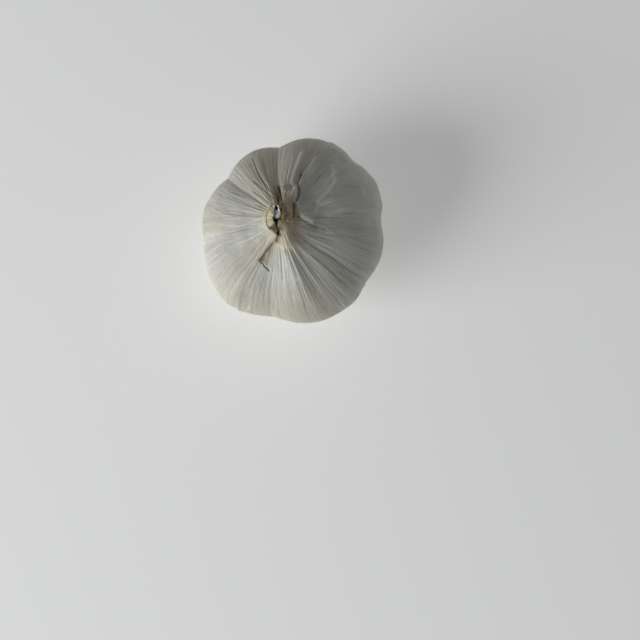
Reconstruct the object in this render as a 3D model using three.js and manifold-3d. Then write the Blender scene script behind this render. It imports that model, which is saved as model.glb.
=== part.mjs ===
// A garlic bulb: a head of seven cloves in its papery leaf sheaths, with the dried neck cut short
// and the roots trimmed, standing on the flat cut face of its root plate.
// Millimetres, +Z up. The origin is the centre of that flat face, and +Z runs up to the neck.
import * as THREE from "three";
import { mergeVertices } from "three/addons/utils/BufferGeometryUtils.js";
import Module from "manifold-3d";

const wasm = await Module();
wasm.setup();

// ---- Driving dimensions ------------------------------------------------------------------------

// The mean outline of the bulb, as radius and height, from the lip round the root plate to the collar.
const OUTLINE = [
  [8.8, 2.2],
  [14.2, 3.7],
  [21.4, 8.4],
  [27.2, 15.2],
  [29.0, 22.0],
  [27.5, 29.2],
  [22.8, 35.3],
  [16.0, 39.6],
  [10.1, 42.4],
  [6.4, 44.7],
  [4.9, 47.4],
];

// Each clove: where it ends, anticlockwise, in degrees, how far the crease there stands off the mean
// outline, how far the clove swells past its creases, and how much its shoulder is raised.
const CLOVES = [
  { end: 48, crease: 0.5, swell: 2.0, shoulder: 0.9 },
  { end: 98, crease: -2.2, swell: 2.8, shoulder: 0.9 },
  { end: 142, crease: -2.6, swell: 1.9, shoulder: 0.5 },
  { end: 190, crease: -0.3, swell: 1.6, shoulder: 0.4 },
  { end: 258, crease: -0.4, swell: 2.8, shoulder: 0.3 },
  { end: 324, crease: -0.6, swell: 2.5, shoulder: 0.2 },
  { end: 366, crease: -0.5, swell: 1.4, shoulder: 0.7 },
];

// Gathers of the papery sheaths: waves round the bulb as [count, share, phase in radians].
const GATHERS = [
  [17, 0.4, 0.4],
  [25, 0.4, 2.1],
  [33, 0.35, 4.4],
];
const GATHER_AT_NECK = 0.2;
const GATHER_AT_WAIST = 0.06;
const GATHER_AT_ROOT = 0.28;

// Hollows and folds of the sheaths: where each one's middle is, as azimuth and share of the outline,
// how wide and how long it is, and how high it stands.
const FOLDS = [
  { azimuth: 45, along: 0.81, wide: 15, long: 0.1, height: -1.3 },
  { azimuth: 63, along: 0.83, wide: 6, long: 0.09, height: 0.6 },
  { azimuth: 10, along: 0.87, wide: 14, long: 0.06, height: 0.9 },
  { azimuth: 71, along: 0.7, wide: 4, long: 0.14, height: -0.6 },
  { azimuth: 99, along: 0.86, wide: 6, long: 0.09, height: -1.2 },
  { azimuth: 88, along: 0.85, wide: 6, long: 0.08, height: 0.5 },
  { azimuth: 262, along: 0.82, wide: 16, long: 0.12, height: 0.4 },
  { azimuth: 228, along: 0.42, wide: 10, long: 0.28, height: 0.9 },
  { azimuth: 312, along: 0.42, wide: 8, long: 0.28, height: 0.7 },
];

const NECK_LEAN = new THREE.Vector2(-3.9, -0.9); // how far the collar leans off the axis
const LEAN_FROM = 18; // the height where the lean begins
const NECK_OVAL = 0.12; // the neck is this share narrower along X, and wider along Y
const OVAL_FROM = 38;

const COLLAR_WALL = 0.65;
const SOCKET_FLOOR = 43.2;
const RECESS_RADIUS = 8.1;
const RECESS_ROOF = 3.7;

const SKIN_THICKNESS = 0.6; // the outermost sheath
const SKIN_GAP = 0.45;
const SKIN_STANDS = 0.3; // how far its face stands proud of the sheath that it overlaps
const SKIN_TURNS = [237, 426]; // azimuths of its two long edges at the waist
const SKIN_SPAN = [0.05, 0.965]; // its lower and upper ends, as shares of the outline
const SKIN_RAGGED = 0.025; // how deep its ends are notched
// How its two long edges run, as pairs of a share of the outline and an azimuth.
const SKIN_EDGES = [
  [[0, 237], [0.58, 237], [0.72, 234], [0.76, 236], [0.84, 240], [1, 250]],
  [[0, 425], [0.45, 425], [0.7, 429], [0.78, 421], [0.88, 407], [1, 405]],
];
// The tear: the ring it starts at, how far it gapes and slants along the outline, how deep it runs in
// degrees, and how far up the lifted corner reaches and how high it stands.
const TEAR = { row: 16, gape: 0.011, slant: 0.03, deep: 16, reach: 0.14, lift: 1.0 };

const STEM = { centre: [0.95, 0], radii: [2.55, 3.3], foot: SOCKET_FLOOR + 0.35, top: 48.9 };
const CUT_SHEATH = { from: 114, to: 258, radius: 3.78, foot: SOCKET_FLOOR + 0.35, top: 49.8 };
const CUT_SHEATH_WALL = 0.95;
const CUT_SHEATH_FLARE = 0.8; // how much its lip spreads
const CUT_SHEATH_SWELL = 0.6; // how much thicker its lip is
const CUT_SHEATH_TAPER = 0.34; // how much thinner its two ends are

const ROOT_PLATE_RADIUS = 7.4;
const ROOT_PLATE_TOP = 3.3;
const ROOTS = { count: 36, radius: 0.6 };

const AROUND = 120; // facets round the bulb
const ALONG = 22; // facets along its outline
const STEP = 360 / AROUND;

// ---- Small helpers -----------------------------------------------------------------------------

const radians = THREE.MathUtils.degToRad;
const rise = (x, low, high) => THREE.MathUtils.smoothstep(x, low, high);
const hump = (x) => Math.exp(-x * x);
const turnBetween = (a, b) => ((((a - b) % 360) + 540) % 360) - 180;

function seeded(seed) {
  let state = seed;
  return () => {
    state = (state * 1664525 + 1013904223) % 4294967296;
    return state / 4294967296;
  };
}

function volumeOf(geometry) {
  const p = geometry.getAttribute("position");
  const corner = (i) => new THREE.Vector3().fromBufferAttribute(p, geometry.index.getX(i));
  let sum = 0;
  for (let i = 0; i < geometry.index.count; i += 3) {
    sum += corner(i).dot(corner(i + 1).cross(corner(i + 2))) / 6;
  }
  return sum;
}

// An indexed geometry from points and triangles, turned so that its faces point out.
function closedGeometry(points, triangles) {
  const geometry = new THREE.BufferGeometry().setFromPoints(points);
  geometry.setIndex(triangles.flat());
  if (volumeOf(geometry) < 0) {
    geometry.setIndex(triangles.map(([a, b, c]) => [a, c, b]).flat());
  }
  geometry.computeVertexNormals();
  return geometry;
}

// Rings of equal length, joined one to the next.
function sides(count, rings) {
  const triangles = [];
  for (let ring = 0; ring + 1 < rings; ring++) {
    for (let i = 0; i < count; i++) {
      const a = ring * count + i;
      const b = ring * count + ((i + 1) % count);
      triangles.push([a, b, b + count], [a, b + count, a + count]);
    }
  }
  return triangles;
}

// A body of rings that closes on a point at each end.
function ringBody(bottom, rings, top) {
  const count = rings[0].length;
  const last = (rings.length - 1) * count;
  const under = rings.length * count;
  const triangles = sides(count, rings.length);
  for (let i = 0; i < count; i++) {
    const next = (i + 1) % count;
    triangles.push([under, next, i], [under + 1, last + i, last + next]);
  }
  return closedGeometry([...rings.flat(), bottom, top], triangles);
}

// A thin body from rows of paired points, its outer and its inner face.
function sheetBody(outerRows, innerRows) {
  const rings = outerRows.map((row, i) => [...row, ...[...innerRows[i]].reverse()]);
  const count = rings[0].length;
  const triangles = sides(count, rings.length);
  const cap = (start, flip) => {
    for (let i = 0; i + 1 < count / 2; i++) {
      const quad = [i, i + 1, count - 2 - i, count - 1 - i].map((k) => start + k);
      const [a, b, c, d] = flip ? [...quad].reverse() : quad;
      triangles.push([a, c, b], [a, d, c]);
    }
  };
  cap(0, false);
  cap((rings.length - 1) * count, true);
  return closedGeometry(rings.flat(), triangles);
}

function toSolid(geometry) {
  const bare = geometry.clone();
  bare.deleteAttribute("normal");
  bare.deleteAttribute("uv");
  const merged = mergeVertices(bare, 1e-4);
  return new wasm.Manifold(
    new wasm.Mesh({
      numProp: 3,
      vertProperties: new Float32Array(merged.getAttribute("position").array),
      triVerts: new Uint32Array(merged.index.array),
    }),
  );
}

function toGeometry(solid) {
  const mesh = solid.getMesh();
  const geometry = new THREE.BufferGeometry();
  geometry.setAttribute("position", new THREE.BufferAttribute(mesh.vertProperties, 3));
  geometry.setIndex(new THREE.BufferAttribute(mesh.triVerts, 1));
  geometry.computeVertexNormals();
  return geometry;
}

// ---- The surface of the bulb ---------------------------------------------------------------------

const outline = new THREE.SplineCurve(OUTLINE.map(([r, z]) => new THREE.Vector2(r, z)));

// How far the cloves push the sheaths out at an azimuth, and how much their shoulders add.
function cloveRelief(azimuth) {
  const last = CLOVES[CLOVES.length - 1];
  const start = last.end - 360;
  const turned = ((((azimuth - start) % 360) + 360) % 360) + start;
  const i = CLOVES.findIndex((clove) => turned < clove.end);
  const clove = CLOVES[i];
  const before = i === 0 ? { end: start, crease: last.crease } : CLOVES[i - 1];
  const share = (turned - before.end) / (clove.end - before.end);
  const crown = 1 - (2 * share - 1) ** 2;
  const crease = THREE.MathUtils.lerp(before.crease, clove.crease, share);
  return { waist: crease + clove.swell * crown, shoulder: clove.shoulder * (crown - 0.4) };
}

function gather(azimuth, along) {
  const wave = GATHERS.reduce(
    (sum, [count, share, phase]) => sum + share * Math.sin(count * radians(azimuth) + phase),
    0,
  );
  const neck = rise(along, 0.45, 0.8) * (1 - 0.45 * rise(along, 0.86, 1));
  const root = 1 - rise(along, 0.03, 0.22);
  return wave * (GATHER_AT_WAIST + GATHER_AT_NECK * neck + GATHER_AT_ROOT * root);
}

function folds(azimuth, along) {
  return FOLDS.reduce((sum, fold) => {
    const across = turnBetween(azimuth, fold.azimuth) / fold.wide;
    return sum + fold.height * hump(across) * hump((along - fold.along) / fold.long);
  }, 0);
}

// Leans and flattens a point of the neck.
function leaning(point) {
  const oval = NECK_OVAL * rise(point.z, OVAL_FROM, OUTLINE.at(-1)[1]);
  const lean = rise(point.z, LEAN_FROM, OUTLINE.at(-1)[1] + 6);
  point.x = point.x * (1 - oval) + NECK_LEAN.x * lean;
  point.y = point.y * (1 + oval) + NECK_LEAN.y * lean;
  return point;
}

// A point of the papery surface, at a share along the outline and standing off by a height.
function surface(azimuth, along, height = 0) {
  const spot = outline.getPoint(along);
  const run = outline.getTangent(along);
  const relief = cloveRelief(azimuth);
  const waist = rise(along, -0.08, 0.34) * (1 - 0.9 * rise(along, 0.45, 0.85));
  const shoulder = rise(along, 0.5, 0.72) * (1 - rise(along, 0.8, 0.97));
  const off =
    height +
    relief.waist * waist +
    relief.shoulder * shoulder +
    gather(azimuth, along) +
    folds(azimuth, along);
  const radius = spot.x + off * run.y;
  const turn = radians(azimuth);
  return leaning(
    new THREE.Vector3(radius * Math.cos(turn), radius * Math.sin(turn), spot.y - off * run.x),
  );
}

// ---- The pieces ----------------------------------------------------------------------------------

const azimuths = Array.from({ length: AROUND }, (_, i) => i * STEP);

function circle(radius, z) {
  return azimuths.map(
    (a) => new THREE.Vector3(radius * Math.cos(radians(a)), radius * Math.sin(radians(a)), z),
  );
}

const [skinStart, skinEnd] = SKIN_EDGES.map((edge) => {
  const run = new THREE.LinearInterpolant(edge.map(([along]) => along), edge.map(([, a]) => a), 1);
  return (along) => run.evaluate(along)[0];
});

// How far beyond the edges of the outermost sheath an azimuth lies, in degrees; negative inside it.
function beyondSkin(azimuth, along) {
  const start = skinStart(along);
  const half = (skinEnd(along) - start) / 2;
  return Math.abs(turnBetween(azimuth, start + half)) - half;
}

// The sheathed head of cloves, sunk where the outermost sheath lies over it.
function sheathedCloves() {
  const sunk = (azimuth, along) => {
    const ends = rise(along, -0.01, SKIN_SPAN[0]) * (1 - rise(along, SKIN_SPAN[1], 1.01));
    const covered = 1 - rise(beyondSkin(azimuth, along), 3, 6);
    return -(SKIN_THICKNESS + SKIN_GAP - SKIN_STANDS) * ends * covered;
  };
  const rings = [circle(RECESS_RADIUS, RECESS_ROOF), circle(RECESS_RADIUS, OUTLINE[0][1] + 0.1)];
  for (let k = 0; k <= ALONG; k++) {
    rings.push(azimuths.map((a) => surface(a, k / ALONG, sunk(a, k / ALONG))));
  }
  // Inside of the collar, down to the floor of the socket that the dried stem stands in.
  const [collar, rim] = OUTLINE.at(-1);
  rings.push(circle(collar - COLLAR_WALL, rim - 0.3).map(leaning));
  rings.push(circle(collar - COLLAR_WALL, SOCKET_FLOOR).map(leaning));
  const floor = leaning(new THREE.Vector3(0, 0, SOCKET_FLOOR));
  return ringBody(new THREE.Vector3(0, 0, RECESS_ROOF), rings, floor);
}

// The outermost sheath, over half way round the bulb. A tear runs into it from its first long edge,
// and the corner between the tear and the neck is lifted.
function outerSheath() {
  const [first, last] = SKIN_TURNS;
  const columns = Math.round((last - first) / STEP);
  const giveWay = [10, 16]; // columns beside each edge that give way to its run
  const tearRow = TEAR.row / ALONG;
  const rows = [SKIN_SPAN[0]];
  for (let k = 2; k < ALONG - 1; k++) {
    const along = k / ALONG;
    rows.push(...(k === TEAR.row ? [along - TEAR.gape, along, along + TEAR.gape] : [along]));
  }
  rows.push(SKIN_SPAN[1]);
  const place = (row, i, stand) => {
    const ragged = 0.5 + 0.3 * Math.sin(0.9 * i + 1) + 0.2 * Math.sin(2.3 * i);
    const trim = { [SKIN_SPAN[0]]: SKIN_RAGGED, [SKIN_SPAN[1]]: -SKIN_RAGGED }[row] ?? 0;
    const near = Math.max(0, 1 - i / giveWay[0]);
    const far = Math.max(0, 1 - (columns - i) / giveWay[1]);
    const slant = TEAR.slant * (2 * near - 1) * (near > 0) * hump((row - tearRow) / 0.06);
    const along = row + trim * ragged + slant;
    const tear = row === tearRow ? TEAR.deep : 0;
    const start = skinStart(along) - first + tear;
    const azimuth = first + i * STEP + start * near + (skinEnd(along) - last) * far;
    const above = row > tearRow ? 1 - rise(row, tearRow + TEAR.gape, tearRow + TEAR.reach) : 0;
    return surface(azimuth, along, stand + TEAR.lift * above * hump((i * STEP) / 9));
  };
  const face = (stand) =>
    rows.map((row) => Array.from({ length: columns + 1 }, (_, i) => place(row, i, stand)));
  return sheetBody(face(SKIN_STANDS), face(SKIN_STANDS - SKIN_THICKNESS));
}

// The stub of an inner leaf sheath, part way round the neck, cut across and left gaping.
function cutSheath() {
  const columns = 18;
  const rows = 6;
  const face = (inner) =>
    Array.from({ length: rows + 1 }, (_, k) =>
      Array.from({ length: columns + 1 }, (_, i) => {
        const azimuth = THREE.MathUtils.lerp(CUT_SHEATH.from, CUT_SHEATH.to, i / columns);
        const high = CUT_SHEATH.top - 0.5 * Math.cos(radians(3 * azimuth)) ** 2;
        const spread = (k / rows) ** 5;
        const taper = 1 - CUT_SHEATH_TAPER * (1 - rise(Math.min(i, columns - i), 0, 4));
        const wall = inner ? (CUT_SHEATH_WALL + CUT_SHEATH_SWELL * spread) * taper : 0;
        const wave = 0.1 * Math.sin(radians(11 * azimuth));
        const radius = CUT_SHEATH.radius + CUT_SHEATH_FLARE * spread + wave - wall;
        const turn = radians(azimuth);
        const z = THREE.MathUtils.lerp(CUT_SHEATH.foot, high, k / rows);
        return leaning(new THREE.Vector3(radius * Math.cos(turn), radius * Math.sin(turn), z));
      }),
    );
  return sheetBody(face(false), face(true));
}

// The dried stem inside the sheaths: a ridged bundle of fibres with a ragged end.
function driedStem() {
  const around = 40;
  const uneven = seeded(5);
  const jags = Array.from({ length: around }, () => uneven());
  const [x, y] = STEM.centre;
  const [wide, deep] = STEM.radii;
  const ring = (size, z, rough, jag) =>
    jags.map((share, i) => {
      const turn = (2 * Math.PI * i) / around;
      const ridges = Math.sin(7 * turn + 0.8) + 0.7 * Math.sin(12 * turn + 2);
      const reach = size + rough * ridges;
      const spot = [x + wide * reach * Math.cos(turn), y + deep * reach * Math.sin(turn)];
      return leaning(new THREE.Vector3(...spot, z + jag * share));
    });
  const rings = [
    ring(0.92, STEM.foot, 0.03, 0),
    ring(0.96, STEM.foot + 2, 0.04, 0),
    ring(0.96, STEM.top - 2.4, 0.05, 0),
    ring(0.9, STEM.top - 1.5, 0.07, 0.8),
    ring(0.65, STEM.top - 0.8, 0.07, 1),
    ring(0.35, STEM.top - 0.6, 0.03, 0.6),
  ];
  const foot = leaning(new THREE.Vector3(x, y, STEM.foot));
  const end = leaning(new THREE.Vector3(x, y, STEM.top - 0.8));
  return ringBody(foot, rings, end);
}

// The corky root plate, with the stubs of its trimmed roots, cut flat below.
function rootPlate() {
  const profile = [
    [0, 0],
    [4.8, 0],
    [5.4, 0.9],
    [ROOT_PLATE_RADIUS - 0.5, 1.1],
    [ROOT_PLATE_RADIUS, 1.7],
    [ROOT_PLATE_RADIUS - 0.1, ROOT_PLATE_TOP],
    [0, ROOT_PLATE_TOP],
  ].map(([r, z]) => new THREE.Vector2(r, z));
  let plate = toSolid(new THREE.LatheGeometry(profile, 36).rotateX(Math.PI / 2));
  const chance = seeded(23);
  const goldenAngle = 137.508;
  for (let i = 0; i < ROOTS.count; i++) {
    const out = (i + 0.5) / ROOTS.count;
    const turn = radians(i * goldenAngle + 12 * chance());
    const radius = THREE.MathUtils.lerp(5.9, ROOT_PLATE_RADIUS - 0.6, out);
    const splay = THREE.MathUtils.lerp(8, 74, out ** 2) + 8 * chance();
    const length = 2.2 + 0.9 * out + 0.8 * chance();
    const thick = ROOTS.radius * (0.85 + 0.4 * chance());
    const root = new THREE.CylinderGeometry(thick, 0.8 * thick, length, 6);
    root.translate(0, -length / 2 + 0.7, 0);
    root.rotateX(Math.PI / 2);
    root.rotateY(-radians(splay));
    root.translate(radius, 0, 1.6);
    root.rotateZ(turn);
    plate = plate.add(toSolid(root));
  }
  const ground = new THREE.BoxGeometry(40, 40, 10).translate(0, 0, -5);
  return toGeometry(plate.subtract(toSolid(ground)));
}

function piece(name, geometry, color, roughness) {
  const material = new THREE.MeshStandardMaterial({ color, roughness, metalness: 0 });
  const mesh = new THREE.Mesh(geometry, material);
  mesh.name = name;
  return mesh;
}

const bulb = new THREE.Group();
bulb.add(
  piece("sheathed_cloves", sheathedCloves(), 0xcfcabb, 0.55),
  piece("outer_sheath", outerSheath(), 0xd9d6cb, 0.5),
  piece("cut_sheath", cutSheath(), 0xb09c70, 0.75),
  piece("dried_stem", driedStem(), 0x9c8560, 0.85),
  piece("root_plate", rootPlate(), 0xa8905f, 0.9),
);

export default bulb;
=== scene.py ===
import math

import bpy
import numpy as np
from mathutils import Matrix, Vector


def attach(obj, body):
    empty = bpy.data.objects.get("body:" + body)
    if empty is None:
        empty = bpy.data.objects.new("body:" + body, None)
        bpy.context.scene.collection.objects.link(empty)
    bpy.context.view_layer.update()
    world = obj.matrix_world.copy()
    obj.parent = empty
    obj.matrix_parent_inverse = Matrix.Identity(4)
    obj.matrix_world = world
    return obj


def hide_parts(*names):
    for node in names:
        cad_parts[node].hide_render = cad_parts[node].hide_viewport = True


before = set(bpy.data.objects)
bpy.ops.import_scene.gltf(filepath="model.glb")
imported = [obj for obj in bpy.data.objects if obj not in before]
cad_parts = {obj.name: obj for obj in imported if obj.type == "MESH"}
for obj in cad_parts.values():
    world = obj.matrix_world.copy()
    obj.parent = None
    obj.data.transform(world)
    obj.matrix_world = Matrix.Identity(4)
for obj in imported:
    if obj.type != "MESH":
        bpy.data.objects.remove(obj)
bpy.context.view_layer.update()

# A garlic bulb: its papery sheaths, the torn outermost sheath, the cut neck and the trimmed root
# plate. Sizes are in millimetres unless a name says otherwise, and MM takes them to metres.

MM = 0.001

# ---- The form of the bulb ----

# The mean outline, as radius and height, from the lip round the root plate to the collar.
OUTLINE = (
    (8.8, 2.2),
    (14.2, 3.7),
    (21.4, 8.4),
    (27.2, 15.2),
    (29.0, 22.0),
    (27.5, 29.2),
    (22.8, 35.3),
    (16.0, 39.6),
    (10.1, 42.4),
    (6.4, 44.7),
    (4.9, 47.4),
)
COLLAR_RADIUS, COLLAR_TOP = OUTLINE[-1]

# Each clove: the azimuth where it ends, its crease's offset, its swell and its raised shoulder.
CLOVES = (
    (48, 0.5, 2.0, 0.9),
    (98, -2.2, 2.8, 0.9),
    (142, -2.6, 1.9, 0.5),
    (190, -0.3, 1.6, 0.4),
    (258, -0.4, 2.8, 0.3),
    (324, -0.3, 2.3, 0.2),
    (366, -0.5, 1.3, 0.7),
)
CREASE_WIDTH = 0.09  # how far the sheath bridges a crease, as a share of half a clove

# Gathers of the sheaths: waves round the bulb, as count, share and phase in radians.
GATHERS = ((17, 0.4, 0.4), (25, 0.4, 2.1), (33, 0.35, 4.4))
# Their height at the waist, and what they gain near the neck and the root.
GATHER_AT_NECK = 0.2
GATHER_AT_WAIST = 0.06
GATHER_AT_ROOT = 0.28

# Hollows and folds: azimuth, share of the outline, width in degrees, length as a share, and height.
FOLDS = (
    (45, 0.81, 15, 0.1, -1.3),
    (63, 0.83, 6, 0.09, 0.6),
    (10, 0.87, 14, 0.06, 0.9),
    (71, 0.7, 4, 0.14, -0.6),
    (99, 0.86, 6, 0.09, -1.2),
    (88, 0.85, 6, 0.08, 0.5),
    (262, 0.82, 16, 0.12, 0.4),
    (290, 0.92, 24, 0.06, 1.7),
    (286, 0.7, 15, 0.16, 0.7),
    (228, 0.42, 10, 0.28, 0.9),
    (312, 0.42, 8, 0.28, 0.7),
)

# The neck leans and is a little oval, both from a height upwards.
NECK_LEAN = (-3.9, -0.9)
LEAN_FROM = 18
NECK_OVAL = 0.12
OVAL_FROM = 38

# The collar is open round one azimuth, and closes on the stem from the first to the second number of
# degrees away from it.
OPEN_SIDE = 187
OPEN_UNTIL, CLOSED_FROM = 72, 92
CLOSED_PINCH = 0.6
# Beside the lower end of the cut sheath the collar is pinched in.
PINCHED_SIDE, PINCH_WIDTH = 236, 22

# The rings inside the collar: radius and height where it is open, then where it closes on the stem.
COLLAR_RINGS = (
    (4.78, 47.4, 4.1, 47.62), (4.5, 47.2, 3.7, 47.92), (4.34, 46.9, 3.35, 48.22),
    (4.3, 46.3, 3.0, 48.45), (4.22, 45.6, 2.75, 48.45), (4.2, 44.8, 2.62, 47.7),
    (4.2, 43.9, 2.6, 45.6), (4.0, 43.2, 2.6, 43.3),
)
SOCKET_FLOOR = 43.2
CLOVES_COLUMNS, CLOVES_ROWS = 570, 150

# The recess over the root plate and the lip round it, as radius and height.
RECESS_RADIUS = 8.1
RECESS_ROOF = 3.7
RECESS_LIP = (
    (0, RECESS_ROOF),
    (RECESS_RADIUS - 0.3, RECESS_ROOF),
    (RECESS_RADIUS, RECESS_ROOF - 0.5),
    (RECESS_RADIUS + 0.15, 2.5),
)

# The outermost sheath's two long edges, as shares of the outline and azimuths.
SKIN_EDGES = (
    ((0, 237), (0.58, 237), (0.72, 234), (0.76, 236), (0.84, 240), (0.9, 245), (0.94, 251), (1, 264)),
    ((0, 425), (0.45, 425), (0.7, 429), (0.77, 422), (0.88, 405), (1, 403)),
)
SKIN_START, SKIN_END = (edge[0][1] for edge in SKIN_EDGES)
SKIN_SPAN = (0.05, 0.975)  # the shares of the outline between which it lies
SKIN_RAGGED = 0.025  # how far its short edges wander, as a share
SKIN_STANDS = 0.28  # how far its outside stands off the paper's own surface
SKIN_THICKNESS = 0.2
SKIN_SINKS = -0.1  # the sheath below lies this much lower under it
SKIN_COLUMNS, SKIN_ROWS = 300, 150

# The tear in its first long edge: the row of the grid that it follows, its slant as a share, its depth
# in degrees and the height of its lifted corner.
TEAR_ROW = 114
TEAR = {"slant": 0.043, "deep": 18, "lift": 1.0}

# The cut sheath lies between two azimuths. Its top flares out and in by a lip.
CUT_SHEATH = {"from": 114, "to": 260, "radius": 3.7, "wall": 0.95, "foot": 43.55, "top": 49.8}
CUT_COLUMNS, CUT_ROWS = 110, 36
CUT_LIP_DROP = 1.05  # how far the outside of its top turns down
CUT_CROWN_SHARES = (0.06, 0.2, 0.4, 0.6, 0.8, 0.94)  # rows across its top, from outside to inside

STEM_CENTRE = (0.75, 0)
STEM_RADII = (1.55, 2.45)
STEM_SLANT = 0.33  # how far its section is sheared across, for each unit of y
STEM_FOOT, STEM_TOP = 43.55, 49.2
STEM_COLUMNS = 160
# Each ring of the stem: its width and depth as shares, its level from the top, how rough and how dark it is.
STEM_RINGS = (
    (0.95, 0.95, -5.5, 0, 1), (1, 1, -3.5, 0, 1), (1, 1, -2.3, 0, 1),
    (1.0, 1.0, -1.5, 0.1, 0.8), (0.95, 0.97, -1.0, 0.3, 0.5), (0.82, 0.9, -0.7, 0.6, 0.4),
    (0.64, 0.8, -0.5, 0.9, 0.4), (0.45, 0.68, -0.4, 1.0, 0.5), (0.26, 0.55, -0.4, 0.9, 0.6),
    (0.1, 0.4, -0.5, 0.5, 0.8), (0, 0, -0.6, 0, 0.9),
)
FIBRE_COUNT = 84

ROOT_PLATE_RADIUS = 7.4
ROOT_PLATE_TOP = 3.3
ROOT_PLATE_COLUMNS = 180
# The root plate's section, as radius and height, from the middle of its top to that of its underside.
ROOT_PLATE_SECTION = (
    (0, ROOT_PLATE_TOP), (3, ROOT_PLATE_TOP), (6.6, ROOT_PLATE_TOP), (7.25, 3.0), (7.4, 2.2),
    (7.3, 1.6), (6.9, 1.15), (6.3, 0.95), (5.7, 0.8), (5.3, 0.5),
    (5.0, 0.15), (4.8, 0.0), (4.0, 0.0), (3.2, 0.0), (2.5, 0.02),
    (1.8, 0.05), (1.1, 0.12), (0.5, 0.2), (0, 0.22),
)
ROOT_COUNT = 96
ROOT_STEPS = 6
ROOT_START = 1.9  # the height at which the roots leave the plate
GOLDEN_TURN = 137.508  # degrees from each root to the next

# How strongly the paper is pleated, by azimuth; where it is weak, the paper is slack and crumpled.
PLEATED = (
    (0, 0.5), (28, 0.25), (62, 0.3), (74, 0.9), (140, 0.85), (165, 0.55), (215, 0.5), (248, 0.9), (275, 1.0),
    (325, 1.0), (350, 0.7),
)

# Single folds and creases: points as azimuth and share of the outline, the width and height of the
# fold, and how dark it is, or how pale where that is below 0: the dark is painted shade in the crease,
# with some of the paper's own brown, and the pale is painted highlight on the raised fold.
WRINKLES = (
    (((98, 0.776), (90, 0.88), (77, 1.0)), 0.4, -0.6, 0.9),
    (((117, 0.57), (117, 0.728), (113, 0.805), (102, 0.86), (92, 0.92)), 0.2, -0.22, 0.5),
    (((126, 0.7), (121, 0.8), (112, 0.89)), 0.18, -0.15, 0.4),
    (((135, 0.74), (131, 0.86), (124, 0.95)), 0.16, -0.15, 0.4),
    (((109, 0.6), (110, 0.7), (107, 0.76)), 0.16, -0.1, 0.35),
    (((105, 0.78), (101, 0.88), (97, 0.97)), 0.18, -0.2, 0.6),
    (((150, 0.8), (148, 0.92)), 0.16, -0.15, 0.35),
    (((150, 0.62), (146, 0.72)), 0.2, -0.12, 0.3),
    (((88, 0.797), (81, 0.785), (73, 0.781)), 0.4, -0.3, 0.3),
    (((48, 0.885), (30, 0.935), (8, 0.968)), 0.4, -1.1, 1.0),
    (((46, 0.86), (25, 0.92), (12.5, 0.905), (6, 0.87), (0.5, 0.804)), 0.6, 1.1, -1.3),
    (((8, 0.93), (352, 0.804), (351, 0.734)), 0.4, -0.4, 0.5),
    (((66, 0.57), (67.5, 0.62), (69.5, 0.7)), 0.2, -0.2, 0.45),
    (((69.5, 0.7), (67.5, 0.757), (58, 0.785), (47, 0.885)), 0.32, -0.3, 0.75),
    (((77, 0.6), (77, 0.7), (75, 0.76), (63, 0.81), (52, 0.87)), 0.7, 0.35, -0.7),
    (((84, 0.62), (83, 0.75)), 0.3, 0.15, -0.6),
    (((65, 0.83), (66, 0.95)), 0.4, 0.35, -0.6),
    (((72, 0.83), (74, 0.98)), 0.55, 0.45, -0.8),
    (((81, 0.84), (82, 0.98)), 0.45, 0.4, -0.6),
    (((52.5, 0.594), (40, 0.638), (34, 0.682), (27, 0.752)), 0.5, 0.34, -1.0),
    (((47, 0.6), (44, 0.66)), 0.35, 0.2, -0.8),
    (((24, 0.69), (22, 0.764), (12, 0.79)), 0.55, 0.28, -0.8),
    (((14, 0.66), (8, 0.72)), 0.45, 0.18, -0.6),
    (((349, 0.7), (350, 0.76)), 0.8, 0.3, -0.5),
    (((324, 0.4), (325, 0.86)), 3.0, 0.4, 0),
    (((303, 0.86), (302, 0.98)), 1.5, 0.6, 0),
    (((285, 0.62), (288, 0.8)), 2.5, 0.35, 0),
)
CREASE_COUNT = 90
SHARE_LENGTH = 75  # the millimetres that a whole share of the outline stands for, from waist to neck
FIBRE_RADIUS = 29  # of the ring on which the fibres' pattern runs round the bulb


def pleat_strength(azimuth):
    """How strongly the paper is pleated at an azimuth, from 0 to 1."""
    turns, strengths = zip(*PLEATED)
    return np.interp(azimuth % 360, turns, strengths, period=360)


def scattered_creases():
    """Small creases all over the paper, mostly lengthwise, in the form of the wrinkles above."""
    chance = np.random.default_rng(9)
    creases = []
    for _ in range(CREASE_COUNT):
        turn = chance.uniform(0, 360)
        share = chance.uniform(0.4, 0.88)
        straight = float(pleat_strength(turn))
        slant = chance.uniform(-9, 9) * (1.15 - straight)
        length = chance.uniform(0.03, 0.12) * (1 + straight)
        middle = (turn + slant * chance.uniform(0.2, 0.8), share + length / 2)
        points = ((turn, share), middle, (turn + slant, share + length))
        # A sunken crease is painted dark as shade, and a raised fold (below 0) is painted pale as highlight.
        shade_and_highlight = chance.choice((-0.6, 0.35)) * chance.uniform(0.4, 1)
        width = chance.uniform(0.12, 0.26)
        creases.append((points, width, -0.3 * shade_and_highlight * (1.2 - 0.8 * straight), shade_and_highlight))
    return tuple(creases)


ALL_WRINKLES = WRINKLES + scattered_creases()


def rise(x, low, high):
    """A smooth step from 0 at low to 1 at high."""
    share = np.clip((x - low) / (high - low), 0, 1)
    return share * share * (3 - 2 * share)


def hump(x):
    """A bell of height 1 and width 1 round 0."""
    return np.exp(-x * x)


def turn_between(a, b):
    """The degrees from azimuth b to azimuth a, the short way round."""
    return (a - b + 180) % 360 - 180


def towards(azimuth, middle, width):
    """A bell of height 1 round one azimuth, with its width in degrees."""
    return hump(turn_between(azimuth, middle) / width)


def ring_noise(azimuth, knots, seed):
    """Smooth seeded noise from -1 to 1 round the bulb, with this many knots."""
    heights = np.random.default_rng(seed).uniform(-1, 1, knots)
    place = (azimuth % 360) / 360 * knots
    low = np.floor(place).astype(int)
    share = rise(place - low, 0, 1)
    return heights[low % knots] * (1 - share) + heights[(low + 1) % knots] * share


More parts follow.
